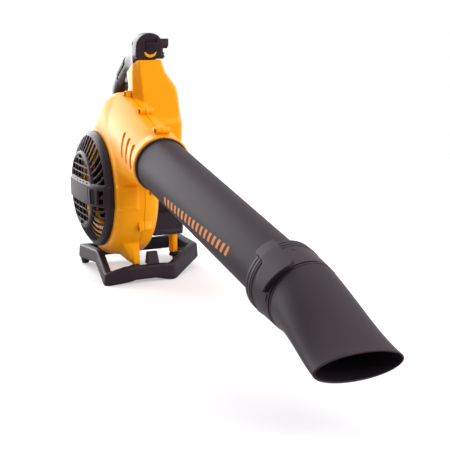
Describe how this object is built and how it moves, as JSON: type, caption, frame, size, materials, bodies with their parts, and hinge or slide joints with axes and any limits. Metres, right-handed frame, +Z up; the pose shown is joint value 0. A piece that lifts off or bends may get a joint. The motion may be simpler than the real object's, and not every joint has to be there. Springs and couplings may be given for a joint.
{
  "type": "cordless leaf blower",
  "caption": "Handheld cordless leaf blower: centrifugal fan in a moulded scroll, long round blow tube with flat nozzle, loop handle, slide-in battery and ring-shaped stand.",
  "frame": {"origin": "on the floor, below the middle of the part's bounding box", "axes": "+X along the air's way out of the nozzle, +Y to the user's left, +Z up"},
  "size_m": [1.0026, 0.2186, 0.432],
  "materials": {
    "yellow_plastic": "satin orange-yellow ABS",
    "black_plastic": "fine-grained dark grey plastic",
    "soft_rubber": "matte soft-touch rubber",
    "handle_plastic": "fine-grained dark grey plastic, slightly sheeny",
    "steel": "bright steel",
    "inner_plastic": "plain inner plastic",
    "fan_plastic": "glass-filled nylon",
    "lamination": "stacked steel laminations",
    "copper": "enamelled copper",
    "cast_aluminium": "as cast",
    "board": "green solder mask",
    "contact_brass": "plated brass",
    "battery_plastic": "fine-grained dark plastic",
    "cell_steel": "sleeved steel cells",
    "button_plastic": "satin orange-yellow plastic",
    "screw_steel": "dark steel screws"
  },
  "bodies": {
    "frame": {"right_housing": "yellow_plastic", "left_housing": "yellow_plastic", "intake_grille": "black_plastic", "grille_band": "black_plastic", "inlet_bell": "yellow_plastic", "outlet_ring": "black_plastic", "blow_tube": "black_plastic", "tube_seal": "soft_rubber", "handle_right": "handle_plastic", "handle_left": "handle_plastic", "grip_pad": "soft_rubber", "head_inlay": "yellow_plastic", "lever_pivot": "steel", "trigger_pin": "steel", "trigger_switch": "inner_plastic", "motor_stator": "lamination", "stator_windings": "copper", "front_bearing": "steel", "rear_bearing": "steel", "motor_mount": "cast_aluminium", "motor_cap": "black_plastic", "control_board": "board", "heat_sink": "cast_aluminium", "board_carrier": "inner_plastic", "battery_dock": "black_plastic", "dock_rails": "steel", "dock_terminals": "contact_brass", "dock_leg": "yellow_plastic", "stand": "black_plastic", "stand_clip": "black_plastic", "housing_screws": "screw_steel", "grille_screws": "screw_steel", "stand_screws": "screw_steel", "handle_screws": "screw_steel", "cap_screws": "screw_steel"},
    "rotor": {"fan_wheel": "fan_plastic", "fan_nut": "steel", "motor_shaft": "steel", "motor_rotor": "steel"},
    "trigger": {"trigger": "handle_plastic"},
    "speed_lever": {"speed_lever": "handle_plastic"},
    "lock_slider": {"lock_slider": "handle_plastic"},
    "battery": {"battery_case": "battery_plastic", "battery_shoe": "battery_plastic", "battery_cells": "cell_steel"},
    "battery_button": {"battery_button": "button_plastic"},
    "nozzle": {"nozzle_collar": "black_plastic", "nozzle": "black_plastic", "nozzle_latch": "black_plastic"}
  },
  "joints": [
    {"name": "rotor_spin", "type": "hinge", "parent": "frame", "child": "rotor", "pos_m": [-0.31334, -0.02475, 0.156], "axis": [0, 1, 0], "continuous": true},
    {"name": "trigger_pull", "type": "hinge", "parent": "frame", "child": "trigger", "pos_m": [-0.30599, -0.00025, 0.3814], "axis": [0, 1, 0], "range_deg": [0, 12], "stiffness_Nm_per_rad": 0.5, "springref_deg": -8.59},
    {"name": "speed_lever_turn", "type": "hinge", "parent": "frame", "child": "speed_lever", "pos_m": [-0.25334, 0.02825, 0.3937], "axis": [0, -1, 0], "range_deg": [0, 65]},
    {"name": "lock_slide", "type": "slide", "parent": "frame", "child": "lock_slider", "axis": [0.2419, 0, 0.9703], "range_m": [0, 0.006]},
    {"name": "battery_slide", "type": "slide", "parent": "frame", "child": "battery", "axis": [-1, 0, 0], "range_m": [0, 0.11]},
    {"name": "battery_button_push", "type": "slide", "parent": "battery", "child": "battery_button", "axis": [1, 0, 0], "range_m": [0, 0.004], "stiffness_N_per_m": 400, "springref_m": -0.002},
    {"name": "nozzle_twist", "type": "hinge", "parent": "frame", "child": "nozzle", "pos_m": [-0.10235, -0.02475, 0.2224], "axis": [0.9806, 0, -0.1959], "range_deg": [0, 25]}
  ]
}
